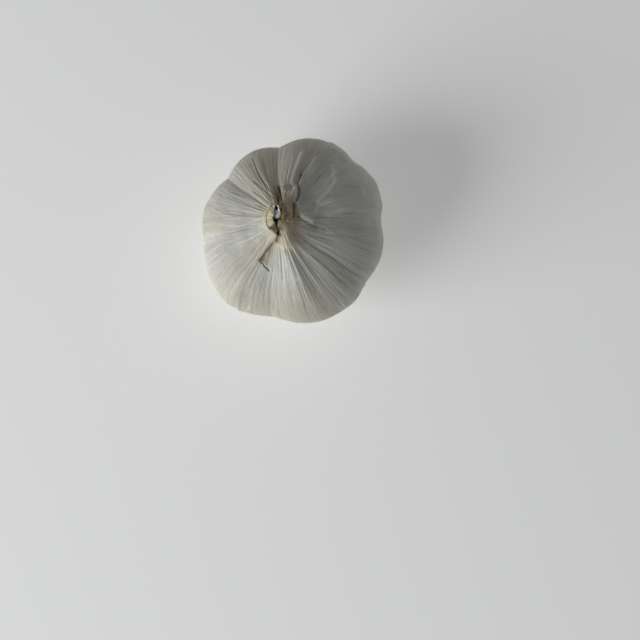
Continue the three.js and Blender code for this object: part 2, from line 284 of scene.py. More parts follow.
def patch_noise(azimuth, along, knots_round, knots_along, seed):
    """Smooth seeded noise from -1 to 1 over the bulb, round it and along its outline."""
    heights = np.random.default_rng(seed).uniform(-1, 1, (knots_along + 2, knots_round))
    place = (azimuth % 360) / 360 * knots_round
    level = np.clip(along, 0, 1) * knots_along
    low = np.floor(place).astype(int)
    under = np.floor(level).astype(int)
    across = rise(place - low, 0, 1)
    up = rise(level - under, 0, 1)
    lower, upper = (
        heights[row, low % knots_round] * (1 - across) + heights[row, (low + 1) % knots_round] * across
        for row in (under, under + 1)
    )
    return lower * (1 - up) + upper * up


def outline_at(along):
    """The outline's point and unit tangent at a share of the way along its points."""
    points = np.array(OUTLINE)
    place = np.clip(along, 0, 1) * (len(points) - 1)
    i = np.minimum(place.astype(int), len(points) - 2)
    t = (place - i)[..., None]
    before, start = points[np.maximum(i - 1, 0)], points[i]
    end, after = points[i + 1], points[np.minimum(i + 2, len(points) - 1)]
    leave, arrive = (end - before) / 2, (after - start) / 2
    cubic = 2 * start - 2 * end + leave + arrive
    square = -3 * start + 3 * end - 2 * leave - arrive
    spot = ((cubic * t + square) * t + leave) * t + start
    run = (3 * cubic * t + 2 * square) * t + leave
    run = run / np.linalg.norm(run, axis=-1, keepdims=True)
    return spot[..., 0], spot[..., 1], run[..., 0], run[..., 1]


def clove_relief(azimuth):
    """How far the cloves push the sheaths out at an azimuth, and how much their shoulders add."""
    ends = np.array([clove[0] for clove in CLOVES])
    start = ends[-1] - 360
    turned = (azimuth - start) % 360 + start
    i = np.minimum(np.searchsorted(ends, turned, side="right"), len(CLOVES) - 1)
    table = np.array(CLOVES, dtype=float)
    low = np.where(i == 0, start, ends[i - 1])
    share = (turned - low) / (ends[i] - low)
    across = np.abs(2 * share - 1)
    crown = 1 - across**2 + CREASE_WIDTH * hump((1 - across) / CREASE_WIDTH)
    crease = table[i - 1, 1] * (1 - share) + table[i, 1] * share
    return crease + table[i, 2] * crown, table[i, 3] * (crown - 0.4)


def near_neck(along):
    """Where the gathers are tightest: from the waist up, and less at the collar."""
    return rise(along, 0.45, 0.8) * (1 - 0.45 * rise(along, 0.86, 1))


def gather(azimuth, along):
    """The height of the gathers, before their strength at an azimuth."""
    wave = sum(share * np.sin(count * np.radians(azimuth) + phase) for count, share, phase in GATHERS)
    root = 1 - rise(along, 0.03, 0.22)
    return wave * (GATHER_AT_WAIST + GATHER_AT_NECK * near_neck(along) + GATHER_AT_ROOT * root)


def folds(azimuth, along):
    """The height of the hollows and folds."""
    total = 0
    for middle, share, wide, long, height in FOLDS:
        total = total + height * towards(azimuth, middle, wide) * hump((along - share) / long)
    return total


def wrinkles(azimuth, along):
    """The height of the single folds and creases, and how dark they are, as painted shade with some of the
    paper's own brown, or how pale below 0, as painted highlight.
    """
    radius = outline_at(along)[0]
    height, brown = 0, 0
    for points, width, high, shade_and_highlight in ALL_WRINKLES:
        line = 0
        for start, end in zip(points, points[1:]):
            across = np.radians(turn_between(azimuth, start[0])) * radius
            up = (along - start[1]) * SHARE_LENGTH
            run_across = np.radians(turn_between(end[0], start[0])) * radius
            run_up = (end[1] - start[1]) * SHARE_LENGTH
            place = np.clip((across * run_across + up * run_up) / (run_across**2 + run_up**2), 0, 1)
            off = np.hypot(across - place * run_across, up - place * run_up)
            line = np.maximum(line, hump(off / width))
        height = height + high * line
        # Painted shade along sunken creases, painted highlight along raised folds.
        brown = brown + shade_and_highlight * line
    return height, brown


def gather_strength(azimuth):
    """The gathers show most where the outermost sheath is pulled tight."""
    return 0.3 + 0.25 * towards(azimuth, 305, 35)


def fine_relief(azimuth, along):
    """Pleats, ribs and slack of the paper, finer than the gathers.

    Each is a seeded noise with so many knots, times its height at the waist, near the neck and at the root.
    """
    drift = 2.2 * patch_noise(azimuth, along, 14, 4, 31)
    strength = pleat_strength(azimuth)
    slack = 1 - strength
    neck = near_neck(along)
    root = 1 - rise(along, 0.02, 0.2)
    body = rise(along, 0.05, 0.2) * (1 - rise(along, 0.85, 1))
    waves = ring_noise(azimuth + drift, 66, 12) * (0.01 + 0.05 * neck + 0.1 * root)
    patchy = 0.55 + 0.75 * patch_noise(azimuth, along, 30, 7, 33)
    valleys = (np.abs(ring_noise(azimuth + drift, 92, 17)) - 0.4) * (0.02 + 0.14 * neck + 0.08 * root)
    ridges = (0.4 - np.abs(ring_noise(azimuth + 0.7 * drift, 150, 13))) * (0.03 + 0.19 * neck * patchy)
    ribs = ring_noise(azimuth + 0.4 * drift, 190, 14) * (0.01 + 0.022 * neck * patchy)
    broad = patch_noise(azimuth, along, 15, 6, 15) * 0.17 * body
    dents = patch_noise(azimuth, along, 40, 14, 16) * 0.06 * body
    crumple = (0.4 - np.abs(patch_noise(azimuth, along, 34, 13, 18))) * 0.5 * slack * body
    crumple = crumple + (0.4 - np.abs(patch_noise(azimuth, along, 70, 26, 19))) * 0.24 * slack * body
    return strength * (waves + valleys + ridges + ribs) + broad + dents + crumple


def collar_opening(azimuth):
    """1 on the side where the cut sheath stands in the open collar, 0 where the collar closes on the stem."""
    return 1 - rise(np.abs(turn_between(azimuth, OPEN_SIDE)), OPEN_UNTIL, CLOSED_FROM)


def collar_pinch(azimuth):
    """How far the collar folds in, over the dried stem and at the lower end of the cut sheath."""
    return CLOSED_PINCH * (1 - collar_opening(azimuth)) + strip_pinch(azimuth)


def strip_pinch(azimuth):
    """How far the collar is pinched in at the lower end of the cut sheath."""
    return towards(azimuth, PINCHED_SIDE, PINCH_WIDTH)


def leaning(x, y, z):
    """Leans and flattens points of the neck."""
    oval = NECK_OVAL * rise(z, OVAL_FROM, COLLAR_TOP)
    lean = rise(z, LEAN_FROM, COLLAR_TOP + 6)
    moved_x = x * (1 - oval) + NECK_LEAN[0] * lean
    moved_y = y * (1 + oval) + NECK_LEAN[1] * lean
    return np.stack((moved_x, moved_y, z), axis=-1)


def surface(azimuth, along, height=0):
    """Points of the papery surface, at a share along the outline and standing off by a height."""
    radius, level, run_out, run_up = outline_at(along)
    waist, shoulder = clove_relief(azimuth)
    off = (
        height
        + waist * rise(along, -0.08, 0.34) * (1 - 0.94 * rise(along, 0.43, 0.78))
        + shoulder * rise(along, 0.5, 0.72) * (1 - rise(along, 0.8, 0.97))
        + gather(azimuth, along) * gather_strength(azimuth)
        + folds(azimuth, along)
        + fine_relief(azimuth, along)
        + wrinkles(azimuth, along)[0]
        - collar_pinch(azimuth) * rise(along, 0.9, 1)
    )
    out = radius + off * run_up
    turn = np.radians(azimuth)
    return leaning(out * np.cos(turn), out * np.sin(turn), level - off * run_out)


def column(azimuth, radius, z):
    """Points of an upright wall round the neck or the root plate, leaning with the neck."""
    turn = np.radians(azimuth)
    z = z + 0 * azimuth
    return leaning(radius * np.cos(turn), radius * np.sin(turn), z)


def fibre_place(azimuth, along):
    """Where a point lies among the fibres: round the bulb, which closes on itself, and along it."""
    turn = np.radians(azimuth)
    length = SHARE_LENGTH * along + 0 * azimuth
    return np.stack((FIBRE_RADIUS * np.cos(turn), FIBRE_RADIUS * np.sin(turn), length), axis=-1)


# ---- Making and finishing pieces ----

SEAM_GAP = 0.00001  # in metres, the distance at which two points become one


def select_only(piece):
    """Selects one piece and makes it the active one."""
    bpy.ops.object.select_all(action="DESELECT")
    piece.select_set(True)
    bpy.context.view_layer.objects.active = piece


def grid_piece(name, points, marks):
    """A sheet whose grid of points is moved into place, with marks painted on its points."""
    rows, columns = points.shape[0] - 1, points.shape[1] - 1
    bpy.ops.object.select_all(action="DESELECT")
    bpy.ops.mesh.primitive_grid_add(x_subdivisions=columns, y_subdivisions=rows, size=2)
    piece = bpy.context.object
    piece.name = name
    mesh = piece.data
    flat = np.empty(len(mesh.vertices) * 3)
    mesh.vertices.foreach_get("co", flat)
    flat = flat.reshape(-1, 3)
    across = np.rint((flat[:, 0] + 1) / 2 * columns).astype(int)
    up = np.rint((flat[:, 1] + 1) / 2 * rows).astype(int)
    mesh.vertices.foreach_set("co", (points[up, across] * MM).ravel())
    for mark, values in marks.items():
        picked = values[up, across]
        kind, field = ("FLOAT_VECTOR", "vector") if picked.ndim == 2 else ("FLOAT", "value")
        mesh.attributes.new(mark, kind, "POINT").data.foreach_set(field, picked.ravel())
    mesh.update()
    return piece


def close_seams(piece):
    """Merges the two edges that meet, and the points that meet at a pole."""
    select_only(piece)
    bpy.ops.object.mode_set(mode="EDIT")
    bpy.ops.mesh.select_all(action="SELECT")
    bpy.ops.mesh.remove_doubles(threshold=SEAM_GAP)
    bpy.ops.mesh.normals_make_consistent(inside=False)
    bpy.ops.object.mode_set(mode="OBJECT")


def delete_faces(piece, chosen):
    """Deletes the faces that a rule on their middles picks, with what then hangs loose."""
    select_only(piece)
    bpy.ops.object.mode_set(mode="EDIT")
    bpy.ops.mesh.select_all(action="DESELECT")
    bpy.ops.object.mode_set(mode="OBJECT")
    mesh = piece.data
    mesh.polygons.foreach_set("select", chosen)
    bpy.ops.object.mode_set(mode="EDIT")
    bpy.ops.mesh.select_mode(type="FACE")
    bpy.ops.mesh.delete(type="FACE")
    bpy.ops.mesh.select_mode(type="VERT")
    bpy.ops.object.mode_set(mode="OBJECT")


def thicken(piece, thickness):
    """Gives a sheet its thickness, inwards from its surface."""
    select_only(piece)
    solid = piece.modifiers.new("thickness", "SOLIDIFY")
    solid.thickness = thickness * MM
    solid.offset = -1
    bpy.ops.object.modifier_apply(modifier=solid.name)


def join(pieces, name):
    """Joins pieces into the first one."""
    bpy.ops.object.select_all(action="DESELECT")
    for piece in pieces:
        piece.select_set(True)
    bpy.context.view_layer.objects.active = pieces[0]
    bpy.ops.object.join()
    pieces[0].name = name
    return pieces[0]


def hand_over(piece, material, node):
    """Smooths a piece, gives it its material and ties it to the frame."""
    select_only(piece)
    bpy.ops.object.shade_smooth()
    piece.data.materials.clear()
    piece.data.materials.append(material)
    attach(piece, "root")
    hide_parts(node)


# ---- Materials ----


EVEN_REACH = (0.001, 0.001, 0.001)  # in metres, how far light travels below a plain surface
PAPER_REACH = (0.0016, 0.0012, 0.0008)
FIBRE_REACH = (0.001, 0.0006, 0.0003)

# The colours that the marks bring to the paper.
BEIGE_AND_SHADE, DEEP_BEIGE_AND_SHADE, MAUVE = (0.52, 0.49, 0.37), (0.5, 0.45, 0.32), (0.56, 0.52, 0.55)
PALE_HAIR, GROOVE = (0.88, 0.87, 0.8), (0.46, 0.45, 0.38)
VEIN, FINE_VEIN = (0.3, 0.265, 0.165), (0.4, 0.37, 0.26)
PALE_STREAK_AND_HIGHLIGHT = (0.92, 0.92, 0.87)
STRAW_DARK, STRAW_LIGHT = (0.76, 0.64, 0.4), (0.96, 0.88, 0.67)
BROWN, EDGE_BROWN_AND_SHADE = (0.56, 0.44, 0.26), (0.2, 0.135, 0.06)

# The colours that the marks bring to dried fibre.
FLECK, SHADE = (0.1, 0.065, 0.03), (0.09, 0.055, 0.025)
PALE_FIBRE, WHITE_SKIN = (0.84, 0.74, 0.52), (0.86, 0.83, 0.86)


class Wire:
    """A socket that carries a number or a colour, with the operators that numbers have."""

    def __init__(self, finish, socket):
        self.finish = finish
        self.socket = socket

    def _math(self, operation, first, second):
        return self.finish.node("ShaderNodeMath", {"operation": operation}, {0: first, 1: second})

    def __add__(self, other):
        return self._math("ADD", self, other)

    def __radd__(self, other):
        return self._math("ADD", other, self)

    def __sub__(self, other):
        return self._math("SUBTRACT", self, other)

    def __rsub__(self, other):
        return self._math("SUBTRACT", other, self)

    def __mul__(self, other):
        return self._math("MULTIPLY", self, other)

    def __rmul__(self, other):
        return self._math("MULTIPLY", other, self)

    def __abs__(self):
        return self.finish.node("ShaderNodeMath", {"operation": "ABSOLUTE"}, {0: self})


class Finish:
    """A material that is built up from wires."""

    def __init__(self, name):
        self.material = bpy.data.materials.new(name)
        self.material.use_nodes = True
        self.tree = self.material.node_tree
        self.tree.nodes.clear()

    def node(self, kind, settings, links, output=0):
        """Adds a node with its settings, and the values or wires of its sockets."""
        made = self.tree.nodes.new(kind)
        for setting, value in settings.items():
            if setting == "stops":
                ramp = made.color_ramp
                while len(ramp.elements) < len(value):
                    ramp.elements.new(0.5)
                for element, (place, colour) in zip(ramp.elements, value):
                    element.position = place
                    element.color = (*colour, 1)
            else:
                setattr(made, setting, value)
        for key, value in links.items():
            if isinstance(value, Wire):
                self.tree.links.new(value.socket, made.inputs[key])
            else:
                made.inputs[key].default_value = value
        return Wire(self, made.outputs[output])

    def mark(self, name, output="Fac"):
        """A mark that is painted on the piece's points."""
        return self.node("ShaderNodeAttribute", {"attribute_name": name}, {}, output)

    def stretch(self, place, squeeze, shift=0):
        """The fibre place, with the length of the bulb squeezed, so that a noise runs along it."""
        links = {"Vector": place, "Scale": (1, 1, squeeze), "Location": (shift, 0, shift)}
        return self.node("ShaderNodeMapping", {}, links)

    def noise(self, place, scale, detail=2, rough=0.5):
        links = {"Vector": place, "Scale": scale, "Detail": detail, "Roughness": rough}
        return self.node("ShaderNodeTexNoise", {}, links)

    def smooth(self, value, low, high):
        """A smooth step from 0 at low to 1 at high."""
        return self.node(
            "ShaderNodeMapRange",
            {"interpolation_type": "SMOOTHSTEP"},
            {"Value": value, "From Min": low, "From Max": high},
        )

    def blend(self, share, first, second):
        """A colour between two colours."""
        links = {0: share, 6: self.colour(first), 7: self.colour(second)}
        return self.node("ShaderNodeMix", {"data_type": "RGBA"}, links, 2)

    @staticmethod
    def colour(value):
        """A colour as a socket takes it: a wire, or three numbers with an alpha of 1."""
        return value if isinstance(value, Wire) else (*value, 1)

    def surface(self, colour, roughness, height, depth, glow=0.0, reach=EVEN_REACH, gloss=0.4, lit=0.0):
        """Ends the material. depth is the bump's height in metres, lit the strength of its own light."""
        bump = self.node("ShaderNodeBump", {}, {"Height": height, "Distance": depth, "Strength": 1.0})
        shader = self.node(
            "ShaderNodeBsdfPrincipled",
            {},
            {
                "Base Color": colour,
                "Roughness": roughness,
                "Normal": bump,
                "Subsurface Weight": glow,
                "Subsurface Radius": reach,
                "Subsurface Scale": 1.0,
                "Specular IOR Level": gloss,
                "Emission Color": (1, 1, 1, 1),
                "Emission Strength": lit,
            },
        )
        output = self.tree.nodes.new("ShaderNodeOutputMaterial")
        self.tree.links.new(shader.socket, output.inputs["Surface"])
        return self.material


def papery_skin(name, pale, warm, cool, seed):
    """Papery leaf sheath: veins and fibres that run lengthwise, with broad beige and mauve streaks."""
    skin = Finish(name)
    place = skin.mark("fibre", "Vector")
    tan = skin.mark("tan")
    edge = skin.mark("edge")

    veins = skin.noise(skin.stretch(place, 0.06, seed), 0.7, 2, 0.55)
    fine = skin.noise(skin.stretch(place, 0.05, seed + 7), 1.7, 2, 0.6)
    bands = skin.noise(skin.stretch(place, 0.1, seed + 3), 0.16, 2, 0.5)
    cloud = skin.noise(skin.stretch(place, 0.6, seed + 5), 0.12, 3, 0.6)
    vein_line = 1 - skin.smooth(abs(veins - 0.5), 0.0, 0.06)
    fine_line = 1 - skin.smooth(abs(fine - 0.5), 0.0, 0.06)

    base = skin.blend(skin.smooth(bands, 0.38, 0.68), pale, warm)
    base = skin.blend(0.5 * skin.smooth(cloud, 0.48, 0.7), base, cool)
    # The beige mark is partly painted shade: in its band at 268 degrees and on the torn corner.
    base = skin.blend(0.8 * skin.mark("beige"), base, BEIGE_AND_SHADE)
    base = skin.blend(0.75 * skin.mark("mauve"), base, MAUVE)
    calm = skin.smooth(skin.noise(skin.stretch(place, 0.4, seed + 9), 0.2, 2, 0.5), 0.35, 0.6)
    veined = skin.mark("veined") * (0.45 + 0.55 * calm)
    hairs = skin.noise(skin.stretch(place, 0.07, seed + 13), 1.0, 1, 0.5)
    base = skin.blend(0.9 * veined * skin.smooth(hairs, 0.58, 0.66), base, PALE_HAIR)
    base = skin.blend(0.4 * veined * skin.smooth(fine, 0.42, 0.62), base, GROOVE)
    base = skin.blend(0.9 * veined * vein_line, base, VEIN)
    base = skin.blend(0.45 * veined * fine_line, base, FINE_VEIN)
    base = skin.blend(0.42 * skin.mark("beige"), base, DEEP_BEIGE_AND_SHADE)
    # Pale streaks, and painted highlight below the neck and on raised folds.
    base = skin.blend(0.8 * skin.mark("pale"), base, PALE_STREAK_AND_HIGHLIGHT)
    tan_colour = skin.blend(skin.smooth(fine, 0.38, 0.62), STRAW_DARK, STRAW_LIGHT)
    base = skin.blend(tan, base, tan_colour)
    base = skin.blend(0.9 * skin.mark("brown"), base, BROWN)
    # Dark brown edges and streaks, with painted shade in the creases and inside the collar.
    base = skin.blend(edge, base, EDGE_BROWN_AND_SHADE)

    rough = 0.5 + 0.16 * fine + 0.1 * tan
    crepe = skin.noise(skin.stretch(place, 0.8, seed + 11), 1.3, 3, 0.6)
    height = 0.35 * veins + 0.45 * fine + 0.45 * crepe
    return skin.surface(base, rough, height, 0.0003, 0.1, PAPER_REACH, 0.4)


def dry_fibre(name, light, dark, flecked=0.6, depth=0.0003):
    """Dried neck tissue and roots: matte, tan to brown, with strong fibres."""
    fibre = Finish(name)
    place = fibre.mark("fibre", "Vector")
    strands = fibre.noise(fibre.stretch(place, 0.12), 1.6, 3, 0.6)
    flecks = fibre.noise(place, 1.1, 3, 0.6)
    base = fibre.blend(fibre.smooth(strands, 0.36, 0.62), dark, light)
    base = fibre.blend(flecked * fibre.smooth(flecks, 0.55, 0.7), base, FLECK)
    base = fibre.blend(fibre.mark("shade"), base, SHADE)
    base = fibre.blend(fibre.mark("pale"), base, PALE_FIBRE)
    base = fibre.blend(fibre.mark("white"), base, WHITE_SKIN)
    rough = 0.75 + 0.15 * flecks
    return fibre.surface(base, rough, strands + 0.4 * flecks, depth, 0.05, FIBRE_REACH, 0.3)


inner_paper = papery_skin("inner_paper", (0.74, 0.735, 0.67), (0.68, 0.655, 0.54), (0.64, 0.66, 0.62), 0)
outer_paper = papery_skin("outer_paper", (0.77, 0.765, 0.7), (0.72, 0.7, 0.61), (0.68, 0.7, 0.665), 40)
neck_fibre = dry_fibre("neck_fibre", (0.86, 0.73, 0.46), (0.62, 0.47, 0.25))
cut_fibre = dry_fibre("cut_fibre", (0.76, 0.67, 0.45), (0.66, 0.61, 0.39), 0.2, 0.0001)
root_fibre = dry_fibre("root_fibre", (0.62, 0.53, 0.34), (0.36, 0.26, 0.13))


# ---- The sheathed cloves ----

# The neck's paper is straw round the first of these azimuths and browned round the second.
STRAW_SIDE, BROWN_SIDE = 284, 88
MAUVE_PATCHES = ((1, 186, 13, 0.75, 0.07), (0.8, 143, 9, 0.62, 0.12), (0.5, 214, 14, 0.62, 0.12))


def skin_edges(along):
    """The azimuths of the outermost sheath's two long edges."""
    return [np.interp(along, *zip(*edge)) for edge in SKIN_EDGES]


def beyond_skin(azimuth, along):
    """How far beyond the edges of the outermost sheath an azimuth lies, in degrees."""
    first, second = skin_edges(along)
    return np.abs(turn_between(azimuth, (first + second) / 2)) - (second - first) / 2


def streaks(azimuth, knots, seed):
    """Lengthwise streaks, from 0 to 1."""
    return 0.5 + 0.5 * ring_noise(azimuth, knots, seed)


def straw_mark(azimuth, along, streak, fine_streak):
    """Straw paper round the top of the neck and round the root plate."""
    side = towards(azimuth, STRAW_SIDE, 26)
    reach = along + 0.07 * streak + 0.04 * fine_streak
    neck = rise(reach, 0.9 - 0.06 * side, 1.02 - 0.05 * side)
    neck = neck * (0.35 + 0.65 * side) * (0.45 + 0.55 * fine_streak)
    root = (1 - rise(along - 0.05 * streak, 0.0, 0.09)) * 0.55
    return neck + root


def dark_edge_and_shade_mark(azimuth, along, streak, fine_streak):
    """Darkest brown: behind the neck, inside the collar, on its rim and down its straw side. On the open
    side, the dark of the rim and of the inside of the collar is painted shade in the socket.
    """
    closed = 1 - collar_opening(azimuth)
    behind = towards(azimuth, BROWN_SIDE, 32) * rise(along + 0.08 * fine_streak, 0.86, 1.0) * fine_streak**2
    core = closed * rise(along + 0.03 * streak, 1.0, 1.05) * 0.8 * fine_streak**2
    core = core * (1 - 0.8 * towards(azimuth, STRAW_SIDE, 26))
    # Painted shade in the socket: on the open side, the rim and everything inside the collar below it are
    # darkened.
    rim = rise(along, 0.99, 1.0) * 0.6 * (1 - closed) * (0.4 + 0.6 * fine_streak)
    tail = towards(azimuth, 260, 9) * rise(along, 0.9, 0.95) * (1 - rise(along, 1.02, 1.05))
    return behind + core + rim + 0.9 * tail


def brown_mark(azimuth, along, streak, fine_streak, fan):
    """Brown paper behind and beside the neck, and thin brown streaks in the fan."""
    behind = towards(azimuth, BROWN_SIDE, 32) * rise(along + 0.07 * fine_streak, 0.83, 0.96)
    behind = behind * (0.75 + 0.25 * streak)
    beside = towards(azimuth, 8, 46) * rise(along + 0.05 * streak, 0.88, 0.98) * (0.7 + 0.3 * streak)
    return behind + beside + 0.8 * fan * fine_streak**3


def beige_and_shade_mark(azimuth, along, streak, fine_streak):
    """Beige patches, a darker beige band halfway up the side at 268 degrees that is partly painted shade, and
    an olive tone under the open side of the collar.
    """
    beige = towards(azimuth, 105, 38) * rise(along, 0.3, 0.6) * (0.4 + 0.6 * streak)
    beige = beige + 0.6 * towards(azimuth, 178, 14) * (1 - rise(along, 0.6, 0.8)) * streak
    # Partly a beige tint, and partly painted shade that darkens this side of the bulb.
    beige = beige + 0.9 * towards(azimuth, 268, 40) * hump((along - 0.5) / 0.14) * (0.6 + 0.4 * streak)
    olive = towards(azimuth, 178, 62) * rise(along + 0.05 * fine_streak, 0.84, 0.97) * (0.2 + 0.8 * streak)
    return beige + olive


def mauve_mark(azimuth, along):
    """Three mauve patches on the shoulders, each as strength, azimuth, width, share and length."""
    total = 0
    for strength, middle, wide, share, long in MAUVE_PATCHES:
        total = total + strength * towards(azimuth, middle, wide) * hump((along - share) / long)
    return total


def skin_marks(azimuth, along):
    """How strongly each mark tints the paper, some of them with painted shade or painted highlight, from 0 to
    1. Shares beyond 1 lie inside the collar.
    """
    streak = streaks(azimuth, 90, 51)
    fine_streak = streaks(azimuth, 170, 52)
    # The creases' painted shade, and below 0 the raised folds' painted highlight.
    crease = wrinkles(azimuth, along)[1]
    fan = towards(azimuth, 338, 52) * rise(along, 0.76, 0.9)
    # A painted highlight on the paper below the neck.
    pale = 0.9 * towards(azimuth, 268, 17) * hump((along - 0.78) / 0.17)
    marks = {
        "tan": straw_mark(azimuth, along, streak, fine_streak),
        # Edge: dark brown, plus the creases' painted shade.
        "edge": dark_edge_and_shade_mark(azimuth, along, streak, fine_streak) + crease,
        "brown": brown_mark(azimuth, along, streak, fine_streak, fan),
        # Pale: painted highlight below the neck and on raised folds, with pale streaks in the fan.
        "pale": pale + fan * streaks(azimuth, 120, 53) ** 3 - crease,
        "beige": beige_and_shade_mark(azimuth, along, streak, fine_streak),
        "mauve": mauve_mark(azimuth, along),
        "veined": pleat_strength(azimuth) * (0.45 + 0.55 * rise(along, 0.62, 0.88)),
    }
    return {name: np.clip(values, 0, 1) for name, values in marks.items()}


def collar_lining(azimuth, pleats, ragged):
    """The rings that line the collar, from its rim down to the middle of the socket's floor."""
    opening = collar_opening(azimuth)
    brim = COLLAR_RADIUS - collar_pinch(azimuth)
    # Where it closes, it turns up past the straw side, down on it, and hugs the stem.
    past_straw = turn_between(azimuth, 292)
    turned = 0.5 * rise(past_straw, -26, 26) * (1 - rise(past_straw, 50, 90))
    turned = turned - 0.75 * towards(azimuth, 272, 22)
    hugs = 0.6 * towards(azimuth, 318, 38)
    rings = []
    for out, level, closed_out, closed_level in COLLAR_RINGS:
        closed_here = closed_out - hugs * rise(4.2 - closed_out, 0, 1.4)
        radius = (out - strip_pinch(azimuth)) * opening + closed_here * (1 - opening) + 0.5 * pleats
        height = level * opening + (closed_level + turned) * (1 - opening)
        height = height + 0.2 * ragged * opening + 1.3 * pleats
        rings.append(column(azimuth, np.minimum(radius, brim), height))
    rings.append(column(azimuth, 0 * azimuth, SOCKET_FLOOR - 0.1))
    return rings


def sheathed_cloves():
    turn = np.linspace(0, 360, CLOVES_COLUMNS + 1)
    share = np.linspace(0, 1, CLOVES_ROWS + 1)
    azimuth, along = np.meshgrid(turn, share)
    covered = 1 - rise(beyond_skin(azimuth, along), 1, 3)
    ends = rise(along, -0.01, SKIN_SPAN[0]) * (1 - rise(along, SKIN_SPAN[1], 1.01))
    paper = surface(azimuth, along, SKIN_SINKS * covered * ends)

    ragged = 0.7 * ring_noise(turn, 46, 3) + 0.35 * ring_noise(turn, 130, 4)
    pleats = 0.12 * ring_noise(turn, 74, 12) + 0.14 * (0.4 - np.abs(ring_noise(turn, 66, 15)))
    rim = paper[-1:].copy()
    rim[..., 2] += 0.35 * ragged * collar_opening(turn)
    lining = collar_lining(turn, pleats, ragged)
    lip = [column(turn, radius + 0.1 * pleats, level) for radius, level in RECESS_LIP]
    points = np.concatenate((np.stack(lip), paper[:-1], rim, np.stack(lining)))

    past_rim = 1 + 0.01 * np.arange(1, len(lining) + 1)
    azimuth, along = np.meshgrid(turn, np.concatenate((np.zeros(len(lip)), share, past_rim)))
    marks = skin_marks(azimuth, along)
    marks["fibre"] = fibre_place(azimuth, along)
    piece = grid_piece("cloves_in_paper", points, marks)
    close_seams(piece)
    hand_over(piece, inner_paper, "sheathed_cloves")


# ---- The outermost sheath ----


def tear_lips(along, off_tear, from_edge, step):
    """Moves the rows beside the tear, whose lips part at the edge and meet at its end."""
    wavy = 0.002 * ring_noise(from_edge * 9, 30, 25)
    slanting = wavy - TEAR["slant"] * from_edge / TEAR["deep"]
    slanting = slanting * (1 - rise(from_edge, TEAR["deep"], 3 * TEAR["deep"]))
    gaping = tear_opening(from_edge)
    gape = (0.001 + 0.004 * gaping - step) * rise(gaping, 0, 0.2)
    return along + slanting * hump(off_tear / 0.05) + np.sign(off_tear) * gape * hump(off_tear / 0.02)


def tear_opening(from_edge):
    """1 at the mouth of the tear and 0 at its end."""
    return np.clip(1 - from_edge / TEAR["deep"], 0, 1)


def above_tear(off_tear):
    """1 just above the tear, falling to 0 further up, and 0 below it."""
    return (off_tear > 0) * (1 - rise(off_tear, 0.03, 0.2))


def tear_lift(off_tear, inside_mm):
    """How far the torn corner above the tear and the lip below it stand up."""
    lift = TEAR["lift"] * above_tear(off_tear) * hump(inside_mm / 1.8)
    below = (off_tear <= 0) * hump(off_tear / 0.04) * hump(inside_mm / 2)
    return lift + 0.12 * below


def add_tear_marks(marks, azimuth, along, off_tear, from_edge, inside_mm):
    """Browns the lips of the tear, and tans and browns the lifted corner, partly as painted shade of the
    turned flap.
    """
    gaping = tear_opening(from_edge)
    dark = rise(gaping, 0.1, 0.8) * hump(off_tear / 0.003) * 0.8
    dark = dark + 0.8 * hump(inside_mm / 0.9) * (off_tear > 0) * hump(off_tear / 0.01)
    dark = dark + 0.35 * rise(gaping, 0.4, 1) * (off_tear > 0) * hump(off_tear / 0.012)
    flap = (off_tear > 0) * (1 - 0.6 * rise(off_tear, 0.1, 0.2))
    flap_edge = hump(inside_mm / (0.7 + 0.3 * ring_noise(along * 360, 60, 28))) * flap * 0.95
    # The lifted corner's tan, beige and brown are partly painted shade of the turned flap.
    flap_tan_and_shade = flap * hump(inside_mm / 3.0) * (0.75 + 0.25 * ring_noise(azimuth, 200, 27))
    flap_brown_and_shade = 0.4 * above_tear(off_tear) + 0.7 * hump((off_tear - 0.012) / 0.012)
    flap_brown_and_shade = flap_brown_and_shade * hump(inside_mm / 2.2)
    marks["edge"] = marks["edge"] + dark + flap_edge
    marks["brown"] = np.clip(marks["brown"] + flap_brown_and_shade, 0, 1)
    marks["tan"] = np.clip(marks["tan"] + 0.55 * flap_tan_and_shade, 0, 1)
    marks["beige"] = np.clip(marks["beige"] + flap_tan_and_shade, 0, 1)


